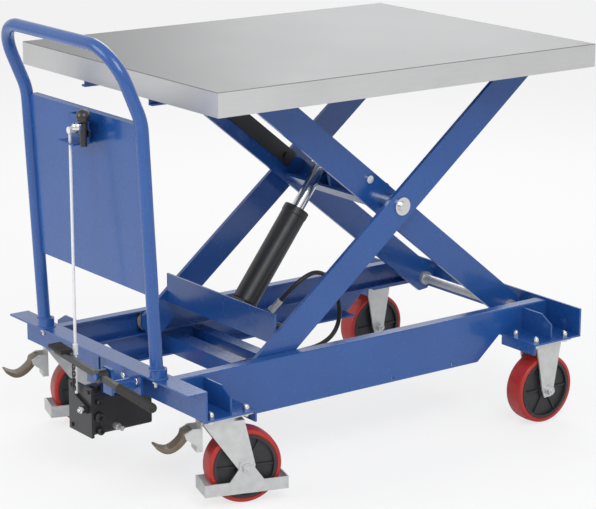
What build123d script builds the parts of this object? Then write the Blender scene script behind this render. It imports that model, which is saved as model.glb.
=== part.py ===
from build123d import *
import math
import os

# Mobile scissor lift table, millimetres. +X runs from the push handle to the fixed casters,
# +Z is up and Z = 0 is the floor. X = 0 is the middle of the deck until everything is shifted
# at the end, so that the origin is the middle of the whole cart's footprint.

# ---- deck ----
DECK_LENGTH = 1244
DECK_WIDTH = 948
DECK_TOP = 1086
DECK_SHEET = 3
SKIRT_DEPTH = 63
DECK_TUBE = 40
DECK_TUBE_DROP = 38

# ---- base frame ----
RAIL_OUTER_Y = 308.5
RAIL_SHEET = 5
RAIL_TOP = 323
RAIL_BOTTOM = 183
RAIL_TOP_LEDGE = 32.5
RAIL_FOOT = 51
FRAME_FRONT_X = -DECK_LENGTH / 2 - 22
FRAME_REAR_X = DECK_LENGTH / 2
FRAME_HALF_WIDTH = 449
BEAM_SHEET = 5
BEAM_FLANGE = 58
BEAM_TOP = 329
CASTER_PLATE_TOP = 251
CASTER_PLATE_SHEET = 5
FRONT_PLATE_END_X = FRAME_FRONT_X + 151
REAR_PLATE_START_X = FRAME_REAR_X - 167
PLATE_LIP = 26
RAIL_RISE_FRONT = (FRAME_FRONT_X + 219, FRAME_FRONT_X + 154)
RAIL_RISE_REAR = (FRAME_REAR_X - 255, FRAME_REAR_X - 174)
CROSSBARS = ((-293, -238), (-188, -148))
CROSSBAR_HEIGHT = 47
GUSSET_SHEET = 5

# ---- scissor ----
ARM_HALF = 598
LIFT_ANGLE = 39.1
LOW_PIN_X = FRAME_REAR_X - 43
LOW_PIN_Z = 286
ARM_WIDTH = 82
ARM_SHEET = 12
ARM_END = 32
ARM_CHAMFER = 22
ROUND_END = 27
OUTER_ARM_Y = 260
INNER_ARM_Y = 188
SHAFT_R = 12.5
PIN_R = 10
PIVOT_R = 16
RUNNING_GAP = 0.05
SOFT_GAP = 0.3
ROLLER_R = 29.4
ROLLER_WIDTH = 22

# ---- cylinder ----
BARREL_R = 35.5
BARREL_LENGTH = 308
ROD_R = 18
CYLINDER_FOOT = (-463, -12)
CYLINDER_HEAD = (102, 48)
FOOT_PIN_R = 12
EYE_R = 30
EYE_WIDTH = 30
OPEN_PIVOT_GAP = 9.5
STAY_SPAN = (62, 420)
EAR_SHEET = 10
EAR_GAP = 6

# ---- push handle and panel ----
HANDLE_R = 17
HANDLE_WALL = 3
HANDLE_Y = 283
HANDLE_FOOT_X = FRAME_FRONT_X - 42
HANDLE_BEND = (FRAME_FRONT_X - 76, 994)
HANDLE_TOP = (FRAME_FRONT_X - 156, 1183)
HANDLE_BEND_R = 160
HANDLE_CORNER_R = 105
SOCKET_R = 22.5
SOCKET_HEIGHT = 26
PANEL_Z = (545, 984)
PANEL_SHEET = 2
PANEL_FOLD = 20

# ---- casters ----
WHEEL_R = 100
WHEEL_WIDTH = 60
TYRE_DEPTH = 15
AXLE_R = 8
CASTER_Y = 387
FIXED_X = FRAME_REAR_X - 91
SWIVEL_X = FRAME_FRONT_X + 77
SWIVEL_TRAIL = 60
SWIVEL_ANGLE = -17
TOP_PLATE = (135, 112, 5)
BOLT_SPACING = (108, 84)
BOLT_R = 5
FORK_SHEET = 5
FORK_GAP = 4
GUARD_BAND = 33
GUARD_LOW = 32
GUARD_HALF_LENGTH = 112
GUARD_SHEET = 4

# ---- pump, pedal and release ----
PUMP_X = (FRAME_FRONT_X - 113, FRAME_FRONT_X + 67)
PUMP_Y = (-83, 23)
PUMP_Z = (131, 240)
PUMP_PLATE_TOP = 262
PUMP_PLATE_SHEET = 8
PEDAL_X = FRAME_FRONT_X - 159
PEDAL_Z = 334
PEDAL_PIVOT_Y = -196
PEDAL_ENDS = (24, -446)
PEDAL_BAR = 16
GRIP_R = 13
GRIP_LENGTH = 185
PIVOT_BOLT_R = 8
ROD_X = FRAME_FRONT_X - 129
RELEASE_ROD_R = 4
LEVER_PIVOT = (-60, 939)
LEVER_ROD_ARM = 33
KNOB_R = 19
RELEASE_PIN = (-64, 203)

# ---- hose ----
HOSE_R = 6.25
HOSE_Y = -92
HOSE_ROUTE = [
    (-140, -62, 392), (-116, -78, 424), (-84, -88, 452), (-42, -92, 466), (0, -92, 446),
    (28, -92, 400), (42, -92, 350), (40, -92, 304), (16, -92, 268), (-30, -92, 249),
    (-88, -91, 246), (-146, -87, 244), (-204, -82, 244), (-262, -78, 244), (-320, -74, 240),
    (-378, -68, 234), (-436, -58, 222), (-492, -46, 206), (-540, -36, 192), (-573, -31, 186),
]

# ---- values that follow from the sizes above ----
lean = math.radians(LIFT_ANGLE)
half_run = ARM_HALF * math.cos(lean)
half_rise = ARM_HALF * math.sin(lean)
pivot_x = LOW_PIN_X - half_run
pivot_z = LOW_PIN_Z + half_rise
high_pin_z = LOW_PIN_Z + 2 * half_rise
roller_x = LOW_PIN_X - 2 * half_run
rail_web_y = RAIL_OUTER_Y - RAIL_SHEET
track_top = LOW_PIN_Z - ROLLER_R - SOFT_GAP
outer_roller_y = rail_web_y - SOFT_GAP - 2 - ROLLER_WIDTH
inner_roller_y = INNER_ARM_Y - 3 - ROLLER_WIDTH
deck_under = DECK_TOP - DECK_SHEET
plate_low = CASTER_PLATE_TOP - CASTER_PLATE_SHEET
handle_lean = math.degrees(math.atan2(HANDLE_FOOT_X - HANDLE_BEND[0], HANDLE_BEND[1] - BEAM_TOP))


def box(x, y, z):
    """A box from three pairs of limits."""
    size = [abs(pair[1] - pair[0]) for pair in (x, y, z)]
    centre = [(pair[1] + pair[0]) / 2 for pair in (x, y, z)]
    return Pos(*centre) * Box(*size)


def bar_y(x, z, radius, y0, y1):
    """A round bar along Y."""
    return Pos(x, (y0 + y1) / 2, z) * Rot(90, 0, 0) * Cylinder(radius, abs(y1 - y0))


def bar_x(y, z, radius, x0, x1):
    """A round bar along X."""
    return Pos((x0 + x1) / 2, y, z) * Rot(0, 90, 0) * Cylinder(radius, abs(x1 - x0))


def bar_z(x, y, radius, z0, z1):
    """A round bar along Z."""
    return Pos(x, y, (z0 + z1) / 2) * Cylinder(radius, abs(z1 - z0))


def plate_xz(points, y0, y1):
    """A flat plate whose outline is in X and Z, from y0 to y1."""
    outline = Polyline(*[(x, y0, z) for x, z in points], close=True)
    return extrude(make_face(outline), amount=y1 - y0, dir=(0, 1, 0))


def plate_yz(points, x0, x1):
    """A flat plate whose outline is in Y and Z, from x0 to x1."""
    outline = Polyline(*[(x0, y, z) for y, z in points], close=True)
    return extrude(make_face(outline), amount=x1 - x0, dir=(1, 0, 0))


def plate_xy(points, z0, z1):
    """A flat plate whose outline is in X and Y, from z0 to z1."""
    outline = Polyline(*[(x, y, z0) for x, y in points], close=True)
    return extrude(make_face(outline), amount=z1 - z0, dir=(0, 0, 1))


def both_sides(shape):
    """The piece and its mirror image across the cart's middle plane."""
    return [shape, mirror(shape, about=Plane.XZ)]


# ---------------------------------------------------------------- base frame

def side_rail():
    """Folded side rail: web, rounded top ledge, roller track and a foot between the casters."""
    low = CASTER_PLATE_TOP
    outline = [
        (FRAME_FRONT_X, RAIL_TOP), (FRAME_REAR_X, RAIL_TOP), (FRAME_REAR_X, low),
        (RAIL_RISE_REAR[1], low), (RAIL_RISE_REAR[0], RAIL_BOTTOM),
        (RAIL_RISE_FRONT[0], RAIL_BOTTOM), (RAIL_RISE_FRONT[1], low), (FRAME_FRONT_X, low),
    ]
    web = plate_xz(outline, rail_web_y, RAIL_OUTER_Y)
    ledge = box((FRAME_FRONT_X, FRAME_REAR_X), (RAIL_OUTER_Y - RAIL_TOP_LEDGE, rail_web_y),
                (RAIL_TOP - RAIL_SHEET, RAIL_TOP))
    track = box((FRAME_FRONT_X, FRAME_REAR_X), (RAIL_OUTER_Y - RAIL_TOP_LEDGE, rail_web_y),
                (track_top - RAIL_SHEET, track_top))
    foot = box((RAIL_RISE_FRONT[0], RAIL_RISE_REAR[0]), (RAIL_OUTER_Y - RAIL_FOOT, rail_web_y),
               (RAIL_BOTTOM, RAIL_BOTTOM + RAIL_SHEET))
    rail = web + ledge + track + foot
    rim = [e for e in rail.edges().filter_by(Axis.X)
           if abs(e.center().Y - RAIL_OUTER_Y) < 0.1 and abs(e.center().Z - RAIL_TOP) < 0.1]
    rail = fillet(rim, 4.5)
    for x in (60, 274):
        rail -= bar_y(x, RAIL_BOTTOM + 11, 4.5, rail_web_y - 1, RAIL_OUTER_Y + 1)
    return rail


def crossbeam():
    """Angle beam across the handle end, its top flange reaching forward under the handle."""
    web = box((FRAME_FRONT_X - BEAM_SHEET, FRAME_FRONT_X), (-FRAME_HALF_WIDTH, FRAME_HALF_WIDTH),
              (plate_low, BEAM_TOP))
    flange = box((FRAME_FRONT_X - BEAM_FLANGE, FRAME_FRONT_X),
                 (-FRAME_HALF_WIDTH, FRAME_HALF_WIDTH), (BEAM_TOP - BEAM_SHEET, BEAM_TOP))
    return web + flange


def end_plate():
    """Upright plate across the fixed-caster end."""
    return box((FRAME_REAR_X, FRAME_REAR_X + RAIL_SHEET + 1),
               (-FRAME_HALF_WIDTH, FRAME_HALF_WIDTH), (plate_low, RAIL_TOP + 5))


def caster_mounting_plate(x0, x1, lip_x):
    """Outboard plate that carries a caster, its free edge turned down as a lip."""
    inner = RAIL_OUTER_Y - RAIL_TOP_LEDGE
    plate = box((x0, x1), (inner, FRAME_HALF_WIDTH - 1), (plate_low, CASTER_PLATE_TOP))
    lip = box((lip_x, lip_x + CASTER_PLATE_SHEET), (RAIL_OUTER_Y + 1, FRAME_HALF_WIDTH - 1),
              (plate_low - PLATE_LIP, plate_low))
    holed = plate + lip
    for bx, by in bolt_places(SWIVEL_X) + bolt_places(FIXED_X):
        holed -= bar_z(bx, by, BOLT_R, plate_low - 1, CASTER_PLATE_TOP + 1)
    return holed


def caster_gusset(x):
    """Upright stiffener between a rail and its caster plate, outer top corner cut off."""
    outer = RAIL_OUTER_Y
    return plate_yz([(outer, CASTER_PLATE_TOP), (outer + 121, CASTER_PLATE_TOP),
                     (outer + 121, 292), (outer + 80, 315), (outer, 315)], x, x + GUSSET_SHEET)


def crossbar(limits):
    """Box-section bar between the rails."""
    top = RAIL_BOTTOM + RAIL_SHEET + CROSSBAR_HEIGHT
    tube = box(limits, (-rail_web_y, rail_web_y), (RAIL_BOTTOM + RAIL_SHEET, top))
    wall = 4
    hollow = box((limits[0] + wall, limits[1] - wall), (-rail_web_y, rail_web_y),
                 (RAIL_BOTTOM + RAIL_SHEET + wall, top - wall))
    return tube - hollow


# ---------------------------------------------------------------- push handle

def push_handle():
    """One bent tube: two legs that lean away, a bend, and the top bar."""
    foot = (HANDLE_FOOT_X, HANDLE_Y, BEAM_TOP)
    bend = (HANDLE_BEND[0], HANDLE_Y, HANDLE_BEND[1])
    top = (HANDLE_TOP[0], HANDLE_Y, HANDLE_TOP[1])
    points = [foot, bend, top]
    points += [(x, -y, z) for x, y, z in reversed(points)]
    radii = [HANDLE_BEND_R, HANDLE_CORNER_R, HANDLE_CORNER_R, HANDLE_BEND_R]
    path = FilletPolyline(*points, radius=radii)
    start = Plane(origin=path @ 0, z_dir=path % 0)
    solid = sweep(start * Circle(HANDLE_R), path=path)
    core = sweep(start * Circle(HANDLE_R - HANDLE_WALL), path=path)
    below = box((HANDLE_FOOT_X - 50, HANDLE_FOOT_X + 50), (-2 * HANDLE_Y, 2 * HANDLE_Y),
                (BEAM_TOP - 20, BEAM_TOP))
    return solid - core - below


def handle_socket():
    """Short collar welded on the beam flange around the foot of a handle leg."""
    ring = bar_z(HANDLE_FOOT_X + 4, HANDLE_Y, SOCKET_R, BEAM_TOP, BEAM_TOP + SOCKET_HEIGHT)
    foot = Plane(origin=(HANDLE_FOOT_X, HANDLE_Y, BEAM_TOP),
                 z_dir=(HANDLE_BEND[0] - HANDLE_FOOT_X, 0, HANDLE_BEND[1] - BEAM_TOP))
    return ring - extrude(foot * Circle(HANDLE_R), amount=60, both=True)


def leaning(x, y, z):
    """A box in the panel's own leaning frame, whose origin is at the foot of the handle."""
    turn = Location((HANDLE_FOOT_X, 0, BEAM_TOP), (0, -handle_lean, 0))
    return turn * box(x, y, z)


def panel():
    """Sheet panel between the handle legs, all four edges folded back."""
    z0 = PANEL_Z[0] - BEAM_TOP
    z1 = PANEL_Z[1] - BEAM_TOP
    reach = HANDLE_Y - HANDLE_R
    front = -PANEL_SHEET / 2
    back = PANEL_SHEET / 2
    sheet = leaning((front, back), (-reach, reach), (z0, z1))
    top = leaning((back, back + PANEL_FOLD), (-reach, reach), (z1 - PANEL_SHEET, z1))
    bottom = leaning((back, back + PANEL_FOLD), (-reach, reach), (z0, z0 + PANEL_SHEET))
    panel_shape = sheet + top + bottom
    for side in (1, -1):
        edge = sorted((side * reach, side * (reach - PANEL_SHEET)))
        panel_shape += leaning((back, back + PANEL_FOLD), edge, (z0, z1))
    return panel_shape


def panel_front_x(z):
    """X of the panel's front face at a height."""
    return HANDLE_FOOT_X - (z - BEAM_TOP) * math.tan(math.radians(handle_lean)) \
        - PANEL_SHEET / 2 / math.cos(math.radians(handle_lean))


def lever_back_x():
    """X of the plane that the lever bracket stands back from the panel's lean."""
    return panel_front_x(LEVER_PIVOT[1] + 34) - SOFT_GAP


def release_bracket():
    """Angle bracket on the panel: a plate, a shelf that guides the release rod, the lever's pin."""
    y, z = LEVER_PIVOT
    back = lever_back_x()
    y0, y1 = y - 13, y + 86
    plate = box((back - 27, back - 23), (y0, y1), (z - 32, z + 34))
    shelf = box((back - 60, back), (y + 8, y1), (z - 36, z - 32))
    side = box((back - 23, back), (y1 - 4, y1), (z - 32, z + 34))
    guide = bar_z(ROD_X, y + LEVER_ROD_ARM, RELEASE_ROD_R + SOFT_GAP, z - 40, z - 30)
    pin = bar_x(y, z, PIVOT_BOLT_R, back - 44, back - 23)
    return [plate + side + pin, shelf - guide]


# ---------------------------------------------------------------- scissor

def arm_point(along, across, rising):
    """A point on an arm from the pivot: along it and across it, at rest."""
    c = math.cos(lean)
    s = math.sin(lean)
    if rising:
        return (pivot_x + along * c - across * s, pivot_z + along * s + across * c)
    return (pivot_x - along * c + across * s, pivot_z + along * s + across * c)


def arm_outline(rising, round_top):
    """Corners of an arm: square cropped ends, or a tapered end that a round boss finishes."""
    w = ARM_WIDTH / 2
    end = ARM_HALF + ARM_END
    low = [(-end, -w + ARM_CHAMFER), (-end, w - ARM_CHAMFER), (-end + ARM_CHAMFER, w)]
    high = [(end - ARM_CHAMFER, w), (end, w - ARM_CHAMFER), (end, -w + ARM_CHAMFER),
            (end - ARM_CHAMFER, -w)]
    if round_top:
        high = [(ARM_HALF - 60, w), (ARM_HALF, ROUND_END), (ARM_HALF, -ROUND_END),
                (ARM_HALF - 60, -w)]
    last = [(-end + ARM_CHAMFER, -w)]
    return [arm_point(s, n, rising) for s, n in low + high + last]


def arm(rising, y0, holes):
    """One scissor arm, flat bar standing on edge, with its bored holes."""
    plate = plate_xz(arm_outline(rising, not rising), y0, y0 + ARM_SHEET)
    if not rising:
        plate += bar_y(roller_x, high_pin_z, ROUND_END, y0, y0 + ARM_SHEET)
    for x, z, radius in holes:
        plate -= bar_y(x, z, radius, y0 - 1, y0 + ARM_SHEET + 1)
    return plate


def outer_arm():
    return arm(True, OUTER_ARM_Y, [(roller_x, LOW_PIN_Z, PIN_R), (pivot_x, pivot_z, PIVOT_R + RUNNING_GAP),
                                   (LOW_PIN_X, high_pin_z, PIN_R + RUNNING_GAP)])


def inner_arm():
    return arm(False, INNER_ARM_Y, [(LOW_PIN_X, LOW_PIN_Z, SHAFT_R + RUNNING_GAP),
                                    (pivot_x, pivot_z, PIVOT_R), (roller_x, high_pin_z, PIN_R)])


def pivot_pin():
    """Centre pin fixed in the inner arm, a washer and a nut outside the outer arm."""
    outside = OUTER_ARM_Y + ARM_SHEET
    pin = bar_y(pivot_x, pivot_z, PIVOT_R, INNER_ARM_Y, outside + 8)
    spacer = bar_y(pivot_x, pivot_z, 24, INNER_ARM_Y + ARM_SHEET, OUTER_ARM_Y - SOFT_GAP)
    washer = bar_y(pivot_x, pivot_z, 25, outside + SOFT_GAP, outside + 5)
    nut = bar_y(pivot_x, pivot_z, 14, outside + 5, outside + 12)
    return pin + spacer + washer + nut


def lower_roller_pin():
    """Stub axle of the lower roller, with a head that holds it on."""
    inner = OUTER_ARM_Y - 5
    pin = bar_y(roller_x, LOW_PIN_Z, PIN_R, inner, outer_roller_y + ROLLER_WIDTH + 1.5)
    head = bar_y(roller_x, LOW_PIN_Z, 15, inner, OUTER_ARM_Y)
    return pin + head


def upper_roller_pin():
    """Stub axle of the upper roller, on the inside of the inner arm."""
    pin = bar_y(roller_x, high_pin_z, PIN_R, inner_roller_y - 1.5, INNER_ARM_Y + ARM_SHEET + 4)
    head = bar_y(roller_x, high_pin_z, 15, INNER_ARM_Y + ARM_SHEET, INNER_ARM_Y + ARM_SHEET + 4)
    return pin + head


def roller(x, z, y0):
    """Plastic roller with its bore."""
    blank = bar_y(x, z, ROLLER_R, y0, y0 + ROLLER_WIDTH)
    blank = chamfer(blank.edges().filter_by(GeomType.CIRCLE), 1.5)
    return blank - bar_y(x, z, PIN_R + RUNNING_GAP, y0 - 1, y0 + ROLLER_WIDTH + 1)


def hinge_shaft():
    """Fixed shaft across the rails that carries the lower ends of the inner arms."""
    shaft = bar_y(LOW_PIN_X, LOW_PIN_Z, SHAFT_R, -rail_web_y, rail_web_y)
    collars = []
    for side in (1, -1):
        for y in (INNER_ARM_Y - 12, INNER_ARM_Y + ARM_SHEET + SOFT_GAP):
            ring = bar_y(LOW_PIN_X, LOW_PIN_Z, 20, side * y, side * (y + 12 - SOFT_GAP))
            collars.append(ring - shaft)
    return [shaft] + collars


def beam_local(shape, rising):
    """Turn a piece made along +X, +Z and centred on the pivot onto an arm."""
    turn = -LIFT_ANGLE if rising else LIFT_ANGLE
    flip = Rot(0, 0, 0) if rising else Rot(0, 0, 180)
    return Location((pivot_x, 0, pivot_z), (0, turn, 0)) * flip * shape


def torque_plate():
    """Angle between the inner arms with two ears for the ram's pin."""
    y = INNER_ARM_Y
    c1, c2 = CYLINDER_HEAD
    web = box((c1 - 92, c1 - 84), (-y, y), (-30, 46))
    flange = box((c1 - 84, c1 - 44), (-y, y), (-30, -22))
    ears = []
    for side in (1, -1):
        near = EYE_WIDTH / 2 + EAR_GAP
        ear = plate_xz([(c1 - 84, -22), (c1 - 44, -22), (c1 + 24, c2 - 16), (c1 + 24, c2 + 14),
                        (c1 + 6, c2 + 24), (c1 - 20, c2 + 22), (c1 - 84, 42)],
                       side * near, side * (near + EAR_SHEET))
        ears.append(ear)
    shape = web + flange
    for ear in ears:
        shape += ear
    shape -= bar_y(c1, c2, PIN_R, -100, 100)
    return beam_local(shape, False)


def head_pin():
    """Pin through the two ears, on which the ram's eye hangs with clearance."""
    c1, c2 = CYLINDER_HEAD
    reach = EYE_WIDTH / 2 + EAR_GAP + EAR_SHEET + 5
    return beam_local(bar_y(c1, c2, PIN_R, -reach, reach), False)


def stiffener_bar():
    """Flat stay bolted on the inner face of one inner arm, and its bolts."""
    inner = -INNER_ARM_Y
    bar = box((STAY_SPAN[0], STAY_SPAN[1]), (inner, inner + 8), (-6, 40))
    bolts = [bar_y(s, 17, 9, inner + 8, inner + 14)
             for s in (STAY_SPAN[0] + 28, STAY_SPAN[1] - 40)]
    return [beam_local(piece, False) for piece in [bar] + bolts]


def arm_bolts():
    """Bolt heads on the outer faces of the inner arms, where the stay is fixed."""
    outside = INNER_ARM_Y + ARM_SHEET
    heads = [bar_y(STAY_SPAN[0] + 28, 17, 11, side * outside, side * (outside + 8)) for side in (1, -1)]
    return [beam_local(head, False) for head in heads]


def lower_cross_plate():
    """Folded plate between the outer arms near their rollers, upright at this deck height."""
    y = OUTER_ARM_Y
    front = foot_x - 66
    low = foot_z - 20
    face = box((front, front + 6), (-y, y), (low, low + 83))
    lip = box((front + 6, front + 33), (-y, y), (low, low + 6))
    shape = face + lip
    for side in (1, -1):
        near = 46
        ear = plate_xz([(front + 6, low + 6), (front + 6, low + 62), (foot_x + 2, foot_z + 26),
                        (foot_x + 22, foot_z + 12), (foot_x + 22, foot_z - 12), (foot_x + 4, foot_z - 26),
                        (front + 33, low + 6)], side * near, side * (near + EAR_SHEET))
        shape += ear
    return shape - bar_y(foot_x, foot_z, FOOT_PIN_R, -y, y)


def foot_pin():
    """Cross shaft between the outer arms that the cylinder's foot turns on."""
    foot, across = CYLINDER_FOOT
    return beam_local(bar_y(foot, across, FOOT_PIN_R, -OUTER_ARM_Y, OUTER_ARM_Y), True)


# ---------------------------------------------------------------- cylinder

foot_x, foot_z = arm_point(*CYLINDER_FOOT, True)
head_x, head_z = arm_point(*CYLINDER_HEAD, False)
ram_length = math.hypot(head_x - foot_x, head_z - foot_z)
ram_angle = math.degrees(math.atan2(head_z - foot_z, head_x - foot_x))
ram_place = Location((foot_x, 0, foot_z), (0, -ram_angle, 0))


def barrel():
    """Cylinder barrel, closed foot with a bored boss, open bore at the top."""
    tube = bar_x(0, 0, BARREL_R, 34, BARREL_LENGTH)
    boss = bar_y(0, 0, 32, -36, 36)
    boss += box((0, 34), (-30, 30), (-26, 26))
    tube += boss
    tube -= bar_y(0, 0, FOOT_PIN_R + RUNNING_GAP, -60, 60)
    tube -= bar_x(0, 0, BARREL_R - 6, 60, BARREL_LENGTH + 1)
    return ram_place * tube


def gland():
    """Screwed gland nut that closes the barrel around the rod."""
    nut = bar_x(0, 0, BARREL_R + 1.5, BARREL_LENGTH, BARREL_LENGTH + 22)
    nut = chamfer(nut.edges().filter_by(GeomType.CIRCLE), 2)
    return ram_place * (nut - bar_x(0, 0, ROD_R + RUNNING_GAP, 0, ram_length))


def piston_rod():
    """Chromed rod with its piston and the eye at the free end."""
    rod = bar_x(0, 0, ROD_R, BARREL_LENGTH - 112, ram_length - EYE_R + 3)
    piston = bar_x(0, 0, BARREL_R - 6 - SOFT_GAP, BARREL_LENGTH - 138, BARREL_LENGTH - 112)
    eye = Pos(ram_length, 0, 0) * bar_y(0, 0, EYE_R, -EYE_WIDTH / 2, EYE_WIDTH / 2)
    shape = rod + piston + eye
    hole = Pos(ram_length, 0, 0) * bar_y(0, 0, PIN_R + OPEN_PIVOT_GAP, -40, 40)
    return ram_place * (shape - hole)


def hose_fitting():
    """Elbow block on the barrel's foot and the ferrule that grips the hose."""
    first = Vector(*HOSE_ROUTE[0])
    along = (Vector(*HOSE_ROUTE[1]) - first).normalized()
    ferrule = Plane(origin=first - along * 34, z_dir=along)
    tube = extrude(ferrule * Circle(9), amount=34)
    block = Plane(origin=first - along * 40, z_dir=along)
    nut = extrude(block * RegularPolygon(11, 6), amount=12)
    return tube + nut


# ---------------------------------------------------------------- deck

def deck_sheet():
    """Folded stainless tray."""
    x = DECK_LENGTH / 2
    y = DECK_WIDTH / 2
    low = DECK_TOP - SKIRT_DEPTH
    tray = box((-x, x), (-y, y), (low, DECK_TOP))
    tray = fillet(tray.edges().filter_by(Axis.X).group_by(Axis.Z)[-1], 3.5)
    inside = box((-x + DECK_SHEET, x - DECK_SHEET), (-y + DECK_SHEET, y - DECK_SHEET),
                 (low - 1, deck_under))
    return tray - inside


def deck_frame():
    """Welded frame under the sheet: perimeter tubes and the two upper roller tracks."""
    x = DECK_LENGTH / 2 - DECK_SHEET
    y = DECK_WIDTH / 2 - DECK_SHEET
    low = deck_under - DECK_TUBE_DROP
    outside = box((-x, x), (-y, y), (low, deck_under))
    inside = box((-x + 2, x - 2), (-y + DECK_TUBE, y - DECK_TUBE), (low - 1, deck_under + 1))
    frame = outside - inside
    web_y = inner_roller_y - 3.5
    up = high_pin_z + ROLLER_R + SOFT_GAP
    down = high_pin_z - ROLLER_R - SOFT_GAP
    for side in (1, -1):
        near = side * web_y
        web = box((-x + 2, x - 2), sorted((near - side * 5, near)), (down - 5, deck_under))
        top = box((-x + 2, x - 2), sorted((near, side * (INNER_ARM_Y - 2))), (up, up + 5))
        bottom = box((-x + 2, 0), sorted((near, side * (INNER_ARM_Y - 16))), (down - 5, down))
        frame += web + top + bottom
    for cross_x in (-150, 200):
        tie = box((cross_x, cross_x + 30), (-web_y + 5, web_y - 5), (low, deck_under))
        frame += tie
    return frame


def deck_hinge():
    """Bracket and pin under the deck that the outer arm's upper end turns on."""
    outer = OUTER_ARM_Y + ARM_SHEET + 3
    plate = box((LOW_PIN_X - 36, LOW_PIN_X + 36), (outer, outer + 8), (high_pin_z - 24, deck_under))
    shelf = box((LOW_PIN_X - 36, LOW_PIN_X + 36), (outer + 8, DECK_WIDTH / 2 - DECK_SHEET - DECK_TUBE),
                (deck_under - 6, deck_under))
    pin = bar_y(LOW_PIN_X, high_pin_z, PIN_R, OUTER_ARM_Y - 5, outer)
    head = bar_y(LOW_PIN_X, high_pin_z, 15, OUTER_ARM_Y - 5, OUTER_ARM_Y - SOFT_GAP)
    return [plate + shelf, pin + head]


# ---------------------------------------------------------------- casters

def caster_top_plate(x):
    """Bolted top plate under a caster plate, with its four bolt holes."""
    length, width, thick = TOP_PLATE
    plate = box((x - length / 2, x + length / 2), (CASTER_Y - width / 2, CASTER_Y + width / 2),
                (plate_low - thick, plate_low))
    for bx, by in bolt_places(x):
        plate -= bar_z(bx, by, BOLT_R, plate_low - thick - 1, plate_low + 1)
    return plate


def bolt_places(x):
    """Centres of a caster's four bolts."""
    dx, dy = BOLT_SPACING
    return [(x + sx * dx / 2, CASTER_Y + sy * dy / 2) for sx in (1, -1) for sy in (1, -1)]


def cap_nut(x, y):
    """Bolt with a domed nut above the plate and its head below."""
    shank = bar_z(x, y, BOLT_R, plate_low - TOP_PLATE[2], CASTER_PLATE_TOP)
    dome = bar_z(x, y, 9, CASTER_PLATE_TOP, CASTER_PLATE_TOP + 8)
    dome += Pos(x, y, CASTER_PLATE_TOP + 8) * Sphere(8)
    head = bar_z(x, y, 8, plate_low - TOP_PLATE[2] - 6, plate_low - TOP_PLATE[2])
    return shank + dome - box((x - 20, x + 20), (y - 20, y + 20), (0, plate_low - TOP_PLATE[2])) + head


wheel_top_z = 2 * WHEEL_R
fork_top = plate_low - TOP_PLATE[2]
cheek_y = WHEEL_WIDTH / 2 + FORK_GAP


def cheeks(top, half_top, half_low):
    """Two tapering fork sides about a wheel at the origin's floor point, and their bridge."""
    sides = []
    for side in (1, -1):
        pts = [(-half_top, top), (half_top, top), (half_low, WHEEL_R), (half_low * 0.6, WHEEL_R - half_low),
               (-half_low * 0.6, WHEEL_R - half_low), (-half_low, WHEEL_R)]
        sides.append(plate_xz(pts, side * cheek_y, side * (cheek_y + FORK_SHEET)))
    return sides


def fixed_fork():
    """Rigid fork: two cheeks hung from a bridge under the top plate."""
    left, right = cheeks(fork_top, 46, 21)
    bridge = box((-46, 46), (-cheek_y, cheek_y), (fork_top - FORK_SHEET, fork_top))
    fork = left + right + bridge
    fork -= bar_y(0, WHEEL_R, AXLE_R, -80, 80)
    return Pos(FIXED_X, CASTER_Y, 0) * fork


def axle():
    """Axle bolt of a wheel with head and nut."""
    reach = cheek_y + FORK_SHEET
    bolt = bar_y(0, WHEEL_R, AXLE_R, -reach, reach)
    return bolt + bar_y(0, WHEEL_R, 13, reach, reach + 8) + bar_y(0, WHEEL_R, 13, -reach - 8, -reach)


def wheel_core():
    """Moulded wheel centre with recessed faces, radial ribs and a bored hub."""
    rim = WHEEL_R - TYRE_DEPTH
    core = bar_y(0, WHEEL_R, rim, -WHEEL_WIDTH / 2, WHEEL_WIDTH / 2)
    dish = bar_y(0, WHEEL_R, rim - 8, 21, WHEEL_WIDTH) - bar_y(0, WHEEL_R, 24, 0, WHEEL_WIDTH)
    core -= dish
    core -= mirror(dish, about=Plane.XZ)
    for k in range(6):
        rib = box((22, rim - 7), (-WHEEL_WIDTH / 2 + 4, WHEEL_WIDTH / 2 - 4), (-2, 2))
        core += Pos(0, 0, WHEEL_R) * Rot(0, 60 * k, 0) * rib
    return core - bar_y(0, WHEEL_R, AXLE_R + RUNNING_GAP, -WHEEL_WIDTH, WHEEL_WIDTH)


def tyre():
    """Moulded tyre bonded on the core."""
    blank = bar_y(0, WHEEL_R, WHEEL_R, -WHEEL_WIDTH / 2, WHEEL_WIDTH / 2)
    blank = fillet(blank.edges().filter_by(GeomType.CIRCLE), 6)
    return blank - bar_y(0, WHEEL_R, WHEEL_R - TYRE_DEPTH, -WHEEL_WIDTH, WHEEL_WIDTH)


def swivel_fork():
    """Swivel fork: bearing disc under the top plate, crown, and cheeks swept back to the axle."""
    crown_top = fork_top - 12
    disc = bar_z(-SWIVEL_TRAIL, 0, 48, crown_top, fork_top - SOFT_GAP)
    crown = box((-SWIVEL_TRAIL - 52, -SWIVEL_TRAIL + 56), (-cheek_y - FORK_SHEET, cheek_y + FORK_SHEET),
                (crown_top - FORK_SHEET, crown_top))
    fork = disc + crown
    for side in (1, -1):
        pts = [(-SWIVEL_TRAIL - 52, crown_top - FORK_SHEET), (-SWIVEL_TRAIL + 56, crown_top - FORK_SHEET),
               (24, WHEEL_R + 4), (18, WHEEL_R - 12), (-18, WHEEL_R - 12), (-24, WHEEL_R)]
        fork += plate_xz(pts, side * cheek_y, side * (cheek_y + FORK_SHEET))
    fork += box((-SWIVEL_TRAIL - 56, -SWIVEL_TRAIL - 52), (-24, 24), (150, crown_top))
    fork -= bar_y(0, WHEEL_R, AXLE_R, -80, 80)
    return fork


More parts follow.
